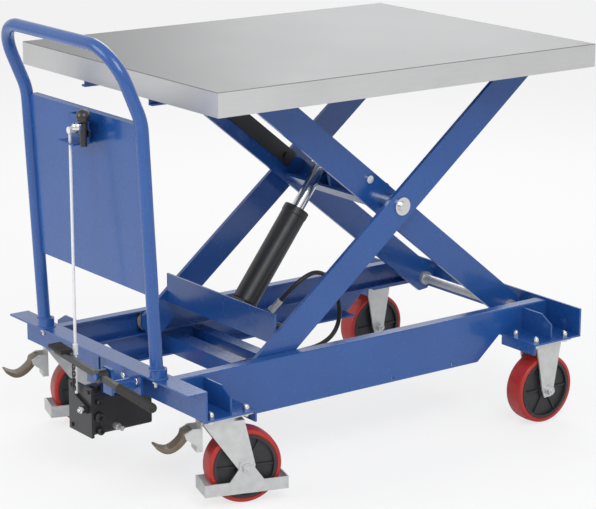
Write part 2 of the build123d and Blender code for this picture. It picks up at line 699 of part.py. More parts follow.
def foot_guard():
    """Band around the lower wheel, hung on the axle by two widening plates."""
    reach = cheek_y + FORK_SHEET
    top = GUARD_LOW + GUARD_BAND
    half = GUARD_HALF_LENGTH
    outer = box((-half, half), (-reach - GUARD_SHEET, reach + GUARD_SHEET), (GUARD_LOW, top))
    inner = box((-half + GUARD_SHEET, half - GUARD_SHEET), (-reach, reach), (GUARD_LOW - 1, top + 1))
    band = outer - inner
    for side in (1, -1):
        pts = [(-46, top - 0.01), (-22, WHEEL_R - 2), (-18, WHEEL_R + 16), (18, WHEEL_R + 16),
               (22, WHEEL_R - 2), (46, top - 0.01)]
        band += plate_xz(pts, side * reach, side * (reach + GUARD_SHEET))
    return band - bar_y(0, WHEEL_R, 13 + SOFT_GAP, -90, 90)


brake_x = -SWIVEL_TRAIL - 92
brake_z = 196


def brake_pedal():
    """Curved foot pedal of the wheel brake, on its own cross pin."""
    pts = [(brake_x - 12, brake_z - 6), (brake_x + 2, brake_z + 13), (brake_x + 20, brake_z + 12),
           (brake_x + 16, brake_z + 1), (brake_x + 6, brake_z - 6), (brake_x - 10, brake_z - 26),
           (brake_x - 30, brake_z - 40), (brake_x - 58, brake_z - 42), (brake_x - 84, brake_z - 24),
           (brake_x - 80, brake_z - 16), (brake_x - 58, brake_z - 24), (brake_x - 38, brake_z - 26)]
    pedal = plate_xz(pts, -21, 21)
    return pedal - bar_y(brake_x + 8, brake_z + 3, 4 + RUNNING_GAP, -60, 60)


def brake_block():
    """Brake housing on the fork's back plate, with the pedal's pin between two lugs."""
    wall = -SWIVEL_TRAIL - 56
    block = box((wall - 12, wall), (-24, 24), (150, 176))
    for side in (1, -1):
        lug = plate_xz([(wall, 150), (wall, 214), (wall - 22, 214), (wall - 44, 202), (wall - 40, 188),
                        (wall - 12, 168)], side * (21 + SOFT_GAP), side * 26)
        block += lug
    block += bar_y(brake_x + 8, brake_z + 3, 4, -26, 26)
    return block


def swivel_place(side):
    """Where a swivel caster's own frame goes: wheel over its origin, trail along +X."""
    turn = Location((SWIVEL_X, side * CASTER_Y, 0), (0, 0, SWIVEL_ANGLE))
    return turn * Pos(SWIVEL_TRAIL, 0, 0)


# ---------------------------------------------------------------- pump, pedal and release

def pump_body():
    """Pump and tank block under the crossbeam."""
    tank = box(PUMP_X, PUMP_Y, PUMP_Z)
    tank = fillet(tank.edges().filter_by(Axis.X), 10)
    cap = bar_z(FRAME_FRONT_X - 76, -30, 14, PUMP_Z[1], PUMP_Z[1] + 12)
    return [tank, cap]


def pump_plate():
    """Front plate that the release arm and the pedal bracket are bolted to."""
    x = PUMP_X[0]
    return box((x - PUMP_PLATE_SHEET, x), (PUMP_Y[0] - 4, PUMP_Y[1] + 4), (PUMP_Z[0] - 4, PUMP_PLATE_TOP))


def pump_bracket():
    """Straps from the beam's flange and web that hold the pump, and the pedal's pivot plate."""
    under = BEAM_TOP - BEAM_SHEET
    front = FRAME_FRONT_X - BEAM_FLANGE
    strap = box((front + 2, front + 8), (-20, 40), (PUMP_Z[1], under))
    blue_x = FRAME_FRONT_X - BEAM_SHEET
    block = box((blue_x - 30, blue_x), (-82, -32), (PUMP_Z[1], under))
    arm_plate = box((front + 2, front + 10), (PEDAL_PIVOT_Y - 30, PUMP_Y[0] + 30), (270, under))
    boss = bar_x(PEDAL_PIVOT_Y, PEDAL_Z - 36, 16, PEDAL_X + 22, front + 2)
    post = box((PEDAL_X + 22, PEDAL_X + 30), (PEDAL_PIVOT_Y - 20, PEDAL_PIVOT_Y + 20), (282, PEDAL_Z + 18))
    pin = bar_x(PEDAL_PIVOT_Y, PEDAL_Z, PIVOT_BOLT_R, PEDAL_X - 14, PEDAL_X + 22)
    return [strap, block, arm_plate + boss + post + pin]


def pedal_arm():
    """Flat rocker bar of the foot pump, bored for its pivot pin."""
    y0, y1 = PEDAL_ENDS
    slope = 36 / (y0 - y1)
    mid = PEDAL_Z - slope * PEDAL_PIVOT_Y
    ends = [(y, mid + slope * y) for y in (y0, y1 + GRIP_LENGTH - 30)]
    half = PEDAL_BAR / 2
    bar = plate_yz([(ends[0][0], ends[0][1] - half), (ends[1][0], ends[1][1] - half),
                    (ends[1][0], ends[1][1] + half), (ends[0][0], ends[0][1] + half)],
                   PEDAL_X - 6, PEDAL_X + 6)
    bar += bar_x(PEDAL_PIVOT_Y, PEDAL_Z, 17, PEDAL_X - 8, PEDAL_X + 18)
    return bar - bar_x(PEDAL_PIVOT_Y, PEDAL_Z, PIVOT_BOLT_R + RUNNING_GAP, PEDAL_X - 40, PEDAL_X + 40)


def pedal_place(y):
    """Centre of the rocker bar at a place along it."""
    slope = 36 / (PEDAL_ENDS[0] - PEDAL_ENDS[1])
    return (PEDAL_X, y, PEDAL_Z + slope * (y - PEDAL_PIVOT_Y))


def pedal_grip():
    """Rubber sleeve on one end of the rocker bar, with a round closed end."""
    tilt = math.degrees(math.atan2(36, PEDAL_ENDS[0] - PEDAL_ENDS[1]))
    start = pedal_place(PEDAL_ENDS[1] + GRIP_LENGTH - 30.8)
    grip = bar_y(0, 0, GRIP_R, -GRIP_LENGTH + 35, 0) + Pos(0, -GRIP_LENGTH + 35, 0) * Sphere(GRIP_R)
    return Location(start, (tilt, 0, 0)) * grip


def pedal_pad():
    """Ribbed rubber tread on the other end of the rocker bar."""
    tilt = math.degrees(math.atan2(36, PEDAL_ENDS[0] - PEDAL_ENDS[1]))
    top = PEDAL_BAR / 2
    pad = box((-20, 16), (-62, 6), (top, top + 7))
    for k in range(8):
        pad += box((-20, 16), (-58 + 8 * k, -54 + 8 * k), (top + 7, top + 9.5))
    return Location(pedal_place(PEDAL_ENDS[0]), (tilt, 0, 0)) * pad


def release_lever():
    """Hand lever on the panel: a crank, its grip and chrome collar."""
    y, z = LEVER_PIVOT
    x0 = lever_back_x() - 38
    crank = plate_yz([(y + LEVER_ROD_ARM + 9, z - 9), (y + LEVER_ROD_ARM + 9, z + 9), (y, z + 13),
                      (y - 34, z + 8), (y - 34, z - 8), (y, z - 13)], x0, x0 + 6)
    crank -= bar_x(y, z, PIVOT_BOLT_R + RUNNING_GAP, x0 - 5, x0 + 20)
    grip = bar_z(x0 - 10, y - 26, 9.5, z - 32, z + 14)
    collar = bar_z(x0 - 10, y - 26, 12, z + 14, z + 28)
    return [crank, grip, collar]


def release_knob():
    """Ball knob on top of the lever."""
    y, z = LEVER_PIVOT
    x0 = lever_back_x() - 48
    ball = Pos(x0, y - 26, z + 28 + KNOB_R - 3) * Sphere(KNOB_R)
    return ball - box((x0 - 60, x0 + 60), (y - 120, y + 60), (0, z + 28))


def release_rod():
    """Rod from the lever down to the pump, with an adjusting sleeve near the bottom."""
    y = LEVER_PIVOT[0] + LEVER_ROD_ARM
    z = LEVER_PIVOT[1]
    rod = bar_z(ROD_X, y, RELEASE_ROD_R, RELEASE_PIN[1] + 35, z)
    eye = bar_x(y, z, 9, ROD_X - 5, lever_back_x() - 38 - SOFT_GAP)
    sleeve = bar_z(ROD_X, y, 7, 344, 372) - rod
    return [rod + eye, sleeve]


def release_arm():
    """Arm on the pump's release spindle, pulled up by the rod."""
    y, z = RELEASE_PIN
    tip = LEVER_PIVOT[0] + LEVER_ROD_ARM + 12
    x = PUMP_X[0] - PUMP_PLATE_SHEET
    arm_shape = plate_yz([(y - 10, z - 10), (y - 10, z + 10), (tip, z + 30), (tip, z + 12),
                          (y + 8, z - 12)], x - 8, x - SOFT_GAP)
    spindle = bar_x(y, z, 9, x - 13, x - 8)
    return [arm_shape, spindle]


def hose():
    """Hydraulic hose from the cylinder's foot to the pump: straight runs and tangent arcs."""
    points = [Vector(*p) for p in HOSE_ROUTE]
    radii = []
    for a, b, c in zip(points, points[1:], points[2:]):
        turn = (b - a).get_angle(c - b)
        run = min((b - a).length, (c - b).length)
        radii.append(0.45 * run / math.tan(math.radians(turn) / 2))
    print("hose bend radii", [round(r) for r in radii])
    path = FilletPolyline(*points, radius=radii)
    start = Plane(origin=path @ 0, z_dir=path % 0)
    tube = sweep(start * Circle(HOSE_R), path=path)
    print("hose volume over section x length", tube.volume / (math.pi * HOSE_R ** 2 * path.length))
    return tube


# ---------------------------------------------------------------- the set of parts

def flat(items):
    """One list from shapes and lists of shapes."""
    out = []
    for item in items:
        out += flat(item) if isinstance(item, (list, tuple)) else [item]
    return out


def paired(pieces):
    """Every piece and its mirror image."""
    return [both_sides(piece) for piece in flat([pieces])]


def build_nodes():
    """All sub-parts by name, each a list of separate solids."""
    nodes = {
        "deck_sheet": [deck_sheet()],
        "deck_frame": [deck_frame()],
        "deck_hinges": paired(deck_hinge()),
        "side_rails": paired(side_rail()),
        "crossbeam": [crossbeam()],
        "end_plate": [end_plate()],
        "caster_mounting_plates": [
            both_sides(caster_mounting_plate(FRAME_FRONT_X, FRONT_PLATE_END_X,
                                             FRONT_PLATE_END_X - CASTER_PLATE_SHEET)),
            both_sides(caster_mounting_plate(REAR_PLATE_START_X, FRAME_REAR_X, REAR_PLATE_START_X))],
        "gussets": [both_sides(caster_gusset(SWIVEL_X + 5)), both_sides(caster_gusset(FIXED_X))],
        "crossbars": [crossbar(limits) for limits in CROSSBARS],
        "hinge_shaft": hinge_shaft(),
        "push_handle": [push_handle()],
        "handle_sockets": paired(handle_socket()),
        "rear_panel": [panel()],
        "release_bracket": release_bracket(),
        "outer_arms": paired(outer_arm()),
        "inner_arms": paired(inner_arm()),
        "inner_arm_pins": paired(pivot_pin()) + paired(upper_roller_pin()) + [head_pin()] + arm_bolts(),
        "lower_roller_pins": paired(lower_roller_pin()),
        "torque_plate": [torque_plate()],
        "safety_bar": stiffener_bar(),
        "lower_cross_plate": [lower_cross_plate()],
        "cylinder_foot_pin": [foot_pin()],
        "cylinder_barrel": [barrel()],
        "cylinder_gland": [gland()],
        "piston_rod": [piston_rod()],
        "hose_fitting": [hose_fitting()],
        "hydraulic_hose": [hose()],
        "pump_body": pump_body(),
        "pump_plate": [pump_plate()],
        "pump_bracket": pump_bracket(),
        "pedal_arm": [pedal_arm()],
        "pedal_grip": [pedal_grip()],
        "pedal_pad": [pedal_pad()],
        "release_lever": release_lever(),
        "release_knob": [release_knob()],
        "release_rod": release_rod(),
        "release_arm": release_arm(),
        "caster_top_plates": [both_sides(caster_top_plate(SWIVEL_X)), both_sides(caster_top_plate(FIXED_X))],
        "cap_nuts": [both_sides(cap_nut(bx, by)) for x in (SWIVEL_X, FIXED_X) for bx, by in bolt_places(x)],
        "fixed_forks": paired(fixed_fork()),
        "fixed_axles": paired(Pos(FIXED_X, CASTER_Y, 0) * axle()),
    }
    for name, side in (("left", -1), ("right", 1)):
        nodes["lower_roller_" + name] = [side_of(roller(roller_x, LOW_PIN_Z, outer_roller_y), side)]
        nodes["upper_roller_" + name] = [side_of(roller(roller_x, high_pin_z, inner_roller_y), side)]
        fixed = Pos(FIXED_X, side * CASTER_Y, 0)
        nodes["fixed_wheel_core_" + name] = [fixed * wheel_core()]
        nodes["fixed_tyre_" + name] = [fixed * tyre()]
        place = swivel_place(side)
        nodes["swivel_fork_" + name] = [place * swivel_fork(), place * brake_block(), place * axle()]
        nodes["foot_guard_" + name] = [place * foot_guard()]
        nodes["brake_pedal_" + name] = [place * brake_pedal()]
        nodes["swivel_wheel_core_" + name] = [place * wheel_core()]
        nodes["swivel_tyre_" + name] = [place * tyre()]
    return {name: flat(pieces) for name, pieces in nodes.items()}


def side_of(shape, side):
    """The piece itself, or its mirror image on the other side."""
    return shape if side > 0 else mirror(shape, about=Plane.XZ)


def main_box(nodes):
    """The box around every piece."""
    boxes = [piece.bounding_box() for pieces in nodes.values() for piece in pieces]
    low = [min(getattr(b.min, axis) for b in boxes) for axis in "XYZ"]
    high = [max(getattr(b.max, axis) for b in boxes) for axis in "XYZ"]
    return low, high


all_nodes = build_nodes()
low_corner, high_corner = main_box(all_nodes)
shift = Pos(-(low_corner[0] + high_corner[0]) / 2, -(low_corner[1] + high_corner[1]) / 2, -low_corner[2])
print("shift", shift.position)
os.makedirs("parts", exist_ok=True)
for node, pieces in all_nodes.items():
    moved = [shift * piece for piece in pieces]
    export_step(Compound(children=moved) if len(moved) > 1 else moved[0], "parts/" + node + ".step")
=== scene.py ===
import bmesh
import bpy
import math
import numpy as np
from mathutils import Matrix, Vector


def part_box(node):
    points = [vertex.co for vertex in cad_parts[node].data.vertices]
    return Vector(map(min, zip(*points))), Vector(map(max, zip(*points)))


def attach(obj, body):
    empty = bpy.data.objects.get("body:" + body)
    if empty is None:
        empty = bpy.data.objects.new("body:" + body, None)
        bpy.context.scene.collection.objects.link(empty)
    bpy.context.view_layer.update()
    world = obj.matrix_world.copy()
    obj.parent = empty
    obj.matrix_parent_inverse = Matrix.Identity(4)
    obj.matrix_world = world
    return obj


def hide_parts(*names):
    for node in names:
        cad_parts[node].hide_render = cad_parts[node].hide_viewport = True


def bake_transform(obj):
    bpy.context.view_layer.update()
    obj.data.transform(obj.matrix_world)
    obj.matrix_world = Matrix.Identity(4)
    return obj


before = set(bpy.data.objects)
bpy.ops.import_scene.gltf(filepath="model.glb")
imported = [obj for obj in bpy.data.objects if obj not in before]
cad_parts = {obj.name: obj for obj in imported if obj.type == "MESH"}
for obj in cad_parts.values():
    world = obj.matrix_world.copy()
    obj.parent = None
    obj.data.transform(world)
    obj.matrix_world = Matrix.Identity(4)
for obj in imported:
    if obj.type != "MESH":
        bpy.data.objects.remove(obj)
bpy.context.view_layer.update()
scene = bpy.context.scene
scene.view_settings.view_transform = "Standard"

# ------------------------------------------------------------------ the room
# A pale seamless floor, a white surround that the lamps don't depend on, a wide soft key from
# above the handle end and two fills. The camera stands off the handle corner with a long lens.


class Wire:
    """A shader socket that ordinary arithmetic works on: each operator adds one Math node."""

    def __init__(self, tree, socket):
        self.tree = tree
        self.socket = socket

    def math(self, operation, a, b):
        """One Math node on two wires or numbers."""
        node = self.tree.nodes.new("ShaderNodeMath")
        node.operation = operation
        for slot, value in zip(node.inputs, (a, b)):
            if isinstance(value, Wire):
                self.tree.links.new(value.socket, slot)
            else:
                slot.default_value = value
        return Wire(self.tree, node.outputs[0])

    def __add__(self, other):
        return self.math("ADD", self, other)

    def __sub__(self, other):
        return self.math("SUBTRACT", self, other)

    def __mul__(self, other):
        return self.math("MULTIPLY", self, other)

    def __rsub__(self, other):
        return self.math("SUBTRACT", other, self)

    def clamp(self):
        """The value kept from 0 to 1."""
        return self.math("MINIMUM", self.math("MAXIMUM", self, 0.0), 1.0)

    __radd__ = __add__
    __rmul__ = __mul__


class Finish:
    """One material: a Principled shader and short calls that add nodes to it."""

    def __init__(self, name, colour, roughness, metallic=0.0, **sockets):
        self.material = bpy.data.materials.new(name)
        self.material.use_nodes = True
        self.tree = self.material.node_tree
        self.shader = self.tree.nodes["Principled BSDF"]
        self.shader.inputs["Base Color"].default_value = (*colour, 1)
        self.shader.inputs["Roughness"].default_value = roughness
        self.shader.inputs["Metallic"].default_value = metallic
        for key, value in sockets.items():
            self.shader.inputs[key.replace("_", " ")].default_value = value
        self.place = self.node("ShaderNodeTexCoord").outputs["Object"]

    def node(self, kind, settings=None, **inputs):
        """Any other node: its type, its settings, then the values or links of its sockets."""
        node = self.tree.nodes.new(kind)
        for key, value in (settings or {}).items():
            setattr(node, key, value)
        for key, value in inputs.items():
            socket = node.inputs[key.replace("_", " ")]
            if isinstance(value, Wire):
                value = value.socket
            if isinstance(value, bpy.types.NodeSocket):
                self.tree.links.new(value, socket)
            else:
                socket.default_value = value
        return node

    def noise(self, scale, detail=3.0, stretch=(1, 1, 1)):
        """Noise from 0 to 1 over the piece, stretched along its own axes."""
        mapped = self.node("ShaderNodeMapping", Vector=self.place, Scale=stretch)
        node = self.node("ShaderNodeTexNoise", Vector=mapped.outputs[0], Scale=scale, Detail=detail)
        return Wire(self.tree, node.outputs["Fac"])

    def tint(self, factor, first, second):
        """Base colour that runs from one colour to another with the factor."""
        node = self.node("ShaderNodeMix", {"data_type": "RGBA"})
        node.inputs[6].default_value = (*first, 1)
        node.inputs[7].default_value = (*second, 1)
        self.tree.links.new(factor.clamp().socket, node.inputs[0])
        self.tree.links.new(node.outputs[2], self.shader.inputs["Base Color"])

    def rough(self, wire):
        """Roughness that follows a wire, kept from 0 to 1."""
        self.tree.links.new(wire.clamp().socket, self.shader.inputs["Roughness"])

    def bump(self, wire, strength, distance):
        """Normal tilted by a height that follows a wire."""
        node = self.node("ShaderNodeBump", Height=wire, Strength=strength, Distance=distance)
        self.tree.links.new(node.outputs[0], self.shader.inputs["Normal"])


def coat_node(name, finish):
    """Give a framed piece its finish in place of the plain one."""
    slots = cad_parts[name].data.materials
    slots.clear()
    slots.append(finish.material)


SOFT_LIGHT = 0.62
MIRROR_WHITE = 0.5
LAMP_AIM = (0, 0, 0.6)
FLOOR_REACH = 30.0
FLOOR_DROP = 0.0005
FLOOR_GLOW = 0.72


def world_light(strength):
    """White to the camera, soft light on the pieces, and a level between them in mirrors."""
    world = bpy.data.worlds.new("studio")
    world.use_nodes = True
    scene.world = world
    tree = world.node_tree
    back = tree.nodes["Background"]
    back.inputs["Color"].default_value = (1, 1, 1, 1)
    path = tree.nodes.new("ShaderNodeLightPath")
    camera = Wire(tree, path.outputs["Is Camera Ray"])
    glossy = Wire(tree, path.outputs["Is Glossy Ray"])
    seen = (camera + glossy * MIRROR_WHITE).clamp()
    level = seen + (1 - seen) * strength
    tree.links.new(level.socket, back.inputs["Strength"])


def lamp(name, place, aim, size, power):
    """Square soft lamp that faces a point."""
    data = bpy.data.lights.new(name, "AREA")
    data.size = size
    data.energy = power
    lamp_object = bpy.data.objects.new(name, data)
    scene.collection.objects.link(lamp_object)
    lamp_object.location = place
    lamp_object.rotation_euler = (Vector(aim) - Vector(place)).to_track_quat("-Z", "Y").to_euler()


world_light(SOFT_LIGHT)
lamp("key", (-1.2, -3.6, 3.6), LAMP_AIM, 2.4, 90)
lamp("side", (-3.6, 0.6, 2.2), LAMP_AIM, 2.0, 38)
lamp("rear", (2.6, 2.6, 3.0), LAMP_AIM, 2.2, 40)


def floor_sheet():
    """Flat floor, a square grid of one cell, with a glow of its own that only the camera sees."""
    corners = np.array([(-1, -1, 0), (1, -1, 0), (1, 1, 0), (-1, 1, 0)], float) * FLOOR_REACH
    corners[:, 2] = -FLOOR_DROP
    mesh = bpy.data.meshes.new("floor")
    mesh.from_pydata(corners.tolist(), [], [(0, 1, 2, 3)])
    floor = bpy.data.objects.new("floor", mesh)
    scene.collection.objects.link(floor)
    paper = Finish("floor_paper", (0.9, 0.9, 0.9), 0.9)
    path = paper.node("ShaderNodeLightPath")
    glow = paper.node("ShaderNodeEmission", Color=(1, 1, 1, 1), Strength=1.0)
    mix = paper.node("ShaderNodeMixShader")
    factor = Wire(paper.tree, path.outputs["Is Camera Ray"]) * FLOOR_GLOW
    paper.tree.links.new(factor.socket, mix.inputs[0])
    paper.tree.links.new(paper.shader.outputs[0], mix.inputs[1])
    paper.tree.links.new(glow.outputs[0], mix.inputs[2])
    output = paper.tree.nodes["Material Output"]
    paper.tree.links.new(mix.outputs[0], output.inputs["Surface"])
    mesh.materials.append(paper.material)


floor_sheet()

ORIGIN_SHIFT = Vector((0.096, 0.0022, 0))
CAMERA_PLACE = Vector((-3.56466, -4.80393, 2.06395)) + ORIGIN_SHIFT
CAMERA_TURN = math.radians(-36.61)
CAMERA_DIP = math.radians(14.80)
CAMERA_ROLL = math.radians(0.16)
back = Vector((math.sin(CAMERA_TURN) * math.cos(CAMERA_DIP),
               -math.cos(CAMERA_TURN) * math.cos(CAMERA_DIP), math.sin(CAMERA_DIP)))
level = Vector((math.cos(CAMERA_TURN), math.sin(CAMERA_TURN), 0))
upright = back.cross(level)
right = level * math.cos(CAMERA_ROLL) + upright * math.sin(CAMERA_ROLL)
up = upright * math.cos(CAMERA_ROLL) - level * math.sin(CAMERA_ROLL)
camera_data = bpy.data.cameras.new("camera")
camera_data.sensor_width = 36
camera_data.lens = 133.54
camera_data.shift_x = -0.0190
camera_data.shift_y = 0.0023
camera_data.clip_end = 200
camera = bpy.data.objects.new("camera", camera_data)
scene.collection.objects.link(camera)
turn = Matrix((right, up, back)).transposed().to_4x4()
camera.matrix_world = Matrix.Translation(CAMERA_PLACE) @ turn
scene.camera = camera

# ------------------------------------------------------------------ hydraulic hose
# Black wire-braided hose, 12.5 mm across. It leaves the foot of the cylinder, stands up in an
# arch and comes down inside the frame, then runs over the crossbars to the pump.

HOSE_DIAMETER = 0.0125
HOSE_SIDES = 20
HOSE_ROUTE = [
    (-140, -62, 392), (-116, -78, 424), (-84, -88, 452), (-42, -92, 466), (0, -92, 446),
    (28, -92, 400), (42, -92, 350), (40, -92, 304), (16, -92, 268), (-30, -92, 249),
    (-88, -91, 246), (-146, -87, 244), (-204, -82, 244), (-262, -78, 244), (-320, -74, 240),
    (-378, -68, 234), (-436, -58, 222), (-492, -46, 206), (-540, -36, 192), (-573, -31, 186),
]
hose_points = np.array(HOSE_ROUTE, float) / 1000 + np.array(ORIGIN_SHIFT)


def smooth_line(points):
    """Points along the NURBS spline that has the route as its control points."""
    curve = bpy.data.curves.new("route", "CURVE")
    curve.dimensions = "3D"
    curve.resolution_u = 10
    spline = curve.splines.new("NURBS")
    spline.points.add(len(points) - 1)
    padded = np.column_stack([points, np.ones(len(points))])
    spline.points.foreach_set("co", padded.ravel())
    spline.order_u = 3
    spline.use_endpoint_u = True
    holder = bpy.data.objects.new("route", curve)
    scene.collection.objects.link(holder)
    bpy.context.view_layer.update()
    line = bpy.data.meshes.new_from_object(holder)
    out = np.empty(len(line.vertices) * 3)
    line.vertices.foreach_get("co", out)
    bpy.data.objects.remove(holder)
    return out.reshape(-1, 3)


def grid_piece(name, points, finish, wrap_u=False, wrap_v=False, caps=False):
    """A mesh from a grid of points: u runs down the rows, v across, either may close on itself.

    Edges that turn by more than 38 degrees stay sharp, and caps close the first and last rows.
    """
    rows, columns = points.shape[:2]
    index = np.arange(rows * columns).reshape(rows, columns)
    if wrap_u:
        index = np.vstack([index, index[:1]])
    if wrap_v:
        index = np.hstack([index, index[:, :1]])
    corners = [index[:-1, :-1], index[:-1, 1:], index[1:, 1:], index[1:, :-1]]
    faces = np.stack(corners, -1).reshape(-1, 4).tolist()
    if caps:
        faces.append(index[0, :columns][::-1].tolist())
        faces.append(index[-1, :columns].tolist())
    mesh = bpy.data.meshes.new(name)
    mesh.from_pydata(points.reshape(-1, 3).tolist(), [], faces)
    mesh.polygons.foreach_set("use_smooth", np.ones(len(faces), bool))
    mesh.set_sharp_from_angle(angle=math.radians(38))
    mesh.materials.append(finish.material)
    piece = bpy.data.objects.new(name, mesh)
    scene.collection.objects.link(piece)
    return piece


def carried_ring(path, profile):
    """A closed ring carried along a path without twist.

    Each tangent is the difference of its neighbours, the first side vector is turned at each
    step into the plane across the next tangent, and a point of the ring is its first column
    times that side vector plus its second column times the cross product of the two.
    """
    tangent = np.gradient(path, axis=0)
    tangent /= np.linalg.norm(tangent, axis=1, keepdims=True)
    side = np.cross(tangent[0], (0.13, 0.97, 0.21))
    sides = []
    for step in tangent:
        side = side - step * (side @ step)
        side = side / np.linalg.norm(side)
        sides.append(side)
    sides = np.array(sides)
    other = np.cross(tangent, sides)
    across = profile[None, :, :1] * sides[:, None]
    return path[:, None] + across + profile[None, :, 1:] * other[:, None]


def circle(radius, count):
    """Points of a circle, cosine and sine of equal steps."""
    step = np.linspace(0, 2 * math.pi, count, endpoint=False)
    return radius * np.column_stack([np.cos(step), np.sin(step)])


hose_rubber = Finish("hose_rubber", (0.012, 0.012, 0.013), 0.42)
hose_rubber.bump(hose_rubber.noise(900, 2), 0.25, 0.0004)
hose_rubber.rough(hose_rubber.noise(60) * 0.2 + 0.32)
hose_line = smooth_line(hose_points)
hose_ring = carried_ring(hose_line, circle(HOSE_DIAMETER / 2, HOSE_SIDES))
hose = grid_piece("hydraulic_hose_rubber", hose_ring, hose_rubber, wrap_v=True, caps=True)
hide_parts("hydraulic_hose")
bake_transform(hose)

# ------------------------------------------------------------------ blue steelwork
# Folded and welded steel under a thick gloss enamel. The enamel has a faint orange peel and
# runs a little deeper in colour from place to place.

BLUE = (0.018, 0.098, 0.36)
BLUE_DEEP = (0.011, 0.070, 0.27)
enamel = Finish("blue_enamel", BLUE, 0.3, Coat_Weight=0.4, Coat_Roughness=0.1)
enamel.tint(enamel.noise(5, 4), BLUE_DEEP, BLUE)
enamel.rough(enamel.noise(30) * 0.12 + 0.2)
enamel.bump(enamel.noise(260, 2), 0.12, 0.0006)
for node in ("side_rails", "crossbeam", "end_plate", "caster_mounting_plates", "gussets",
             "crossbars", "handle_sockets", "rear_panel", "release_bracket", "pump_bracket",
             "inner_arms", "outer_arms", "torque_plate", "lower_cross_plate", "deck_frame",
             "deck_hinges", "push_handle"):
    coat_node(node, enamel)

# ------------------------------------------------------------------ deck
# One stainless sheet folded into a tray, corners welded and dressed. The brushing runs along
# the deck, and the folded sides show it as fine level streaks. The level top is painted darker than the
# sides as painted shade, and it is given a rougher finish.

TOP_STARTS = 1.0835
TOP_EDGE = 1000
steel = Finish("brushed_stainless", (0.56, 0.565, 0.57), 0.34, 1.0)
grain = steel.noise(7, 5, (2.2, 90, 90))
clouds = steel.noise(3.2, 3)
height = steel.node("ShaderNodeSeparateXYZ", Vector=steel.place)
# Painted shade: the level top takes the darker colour and the folded sides the lighter one, for how the
# light falls on them.
shaded_level_top = ((Wire(steel.tree, height.outputs["Z"]) - TOP_STARTS) * TOP_EDGE).clamp()
steel.tint(grain * 0.15 + clouds * 0.12 + (1 - shaded_level_top) * 0.75,
           (0.15, 0.152, 0.155), (0.80, 0.805, 0.81))
steel.rough(grain * 0.22 + clouds * 0.16 + 0.2 + shaded_level_top * 0.12)
steel.bump(grain, 0.10, 0.0003)
coat_node("deck_sheet", steel)

# ------------------------------------------------------------------ black and bright metal
# Cylinder, pump and pedal in satin black paint, the ram, pins and cap nuts in bright chrome, the
# caster forks, guards and axles in dull zinc plate. The small moulded pieces follow them.

black = Finish("satin_black", (0.014, 0.014, 0.015), 0.38, Coat_Weight=0.25, Coat_Roughness=0.3)
black.tint(black.noise(9), (0.009, 0.009, 0.01), (0.026, 0.026, 0.028))
black.rough(black.noise(50) * 0.2 + 0.3)
black.bump(black.noise(420, 2), 0.15, 0.0004)
for node in ("cylinder_barrel", "cylinder_gland", "pump_body", "pump_plate", "pedal_arm",
             "safety_bar", "cylinder_foot_pin", "release_arm"):
    coat_node(node, black)

chrome = Finish("bright_chrome", (0.72, 0.72, 0.73), 0.12, 1.0)
chrome.rough(chrome.noise(120) * 0.14 + 0.06)
chrome.bump(chrome.noise(500, 1), 0.03, 0.0002)
for node in ("piston_rod", "inner_arm_pins", "cap_nuts"):
    coat_node(node, chrome)

zinc = Finish("zinc_plate", (0.62, 0.63, 0.63), 0.42, 0.75)
spangle = zinc.noise(55, 4)
zinc.tint(spangle * 0.9 + zinc.noise(8) * 0.3 - 0.1, (0.50, 0.51, 0.51), (0.74, 0.745, 0.74))
zinc.rough(spangle * 0.3 + 0.3)
zinc.bump(spangle, 0.08, 0.0004)
for node in ("fixed_forks", "fixed_axles", "caster_top_plates", "lower_roller_pins",
             "hinge_shaft", "hose_fitting", "swivel_fork_left", "swivel_fork_right",
             "foot_guard_left", "foot_guard_right"):
    coat_node(node, zinc)

bronze = Finish("bronze_lacquer", (0.16, 0.125, 0.085), 0.4, 0.35)
bronze.tint(bronze.noise(30), (0.10, 0.08, 0.055), (0.24, 0.19, 0.13))
bronze.rough(bronze.noise(80) * 0.25 + 0.28)
bronze.bump(bronze.noise(300), 0.1, 0.0004)
for node in ("brake_pedal_left", "brake_pedal_right"):
    coat_node(node, bronze)

rod_white = Finish("white_lacquer", (0.78, 0.78, 0.8), 0.35)
rod_white.rough(rod_white.noise(40) * 0.2 + 0.28)
rod_white.bump(rod_white.noise(300), 0.06, 0.0003)
coat_node("release_rod", rod_white)

nylon = Finish("cream_nylon", (0.72, 0.62, 0.42), 0.48)
nylon.tint(nylon.noise(30), (0.66, 0.55, 0.36), (0.78, 0.68, 0.48))
nylon.rough(nylon.noise(90) * 0.25 + 0.35)
nylon.bump(nylon.noise(260), 0.08, 0.0004)
for node in ("lower_roller_left", "lower_roller_right", "upper_roller_left", "upper_roller_right"):
    coat_node(node, nylon)

rubber = Finish("black_rubber", (0.018, 0.017, 0.016), 0.7)
rubber.rough(rubber.noise(60) * 0.25 + 0.55)
rubber.bump(rubber.noise(500, 2), 0.3, 0.0005)
for node in ("pedal_grip", "pedal_pad"):
    coat_node(node, rubber)

plastic = Finish("black_moulding", (0.02, 0.02, 0.02), 0.3, Coat_Weight=0.3)
plastic.rough(plastic.noise(70) * 0.15 + 0.2)
plastic.bump(plastic.noise(300), 0.04, 0.0003)
for node in ("release_lever", "release_knob"):
    coat_node(node, plastic)

core = Finish("wheel_moulding", (0.022, 0.022, 0.024), 0.5)
core.tint(core.noise(24), (0.014, 0.014, 0.016), (0.034, 0.034, 0.037))
core.rough(core.noise(80) * 0.25 + 0.38)
core.bump(core.noise(350), 0.12, 0.0005)

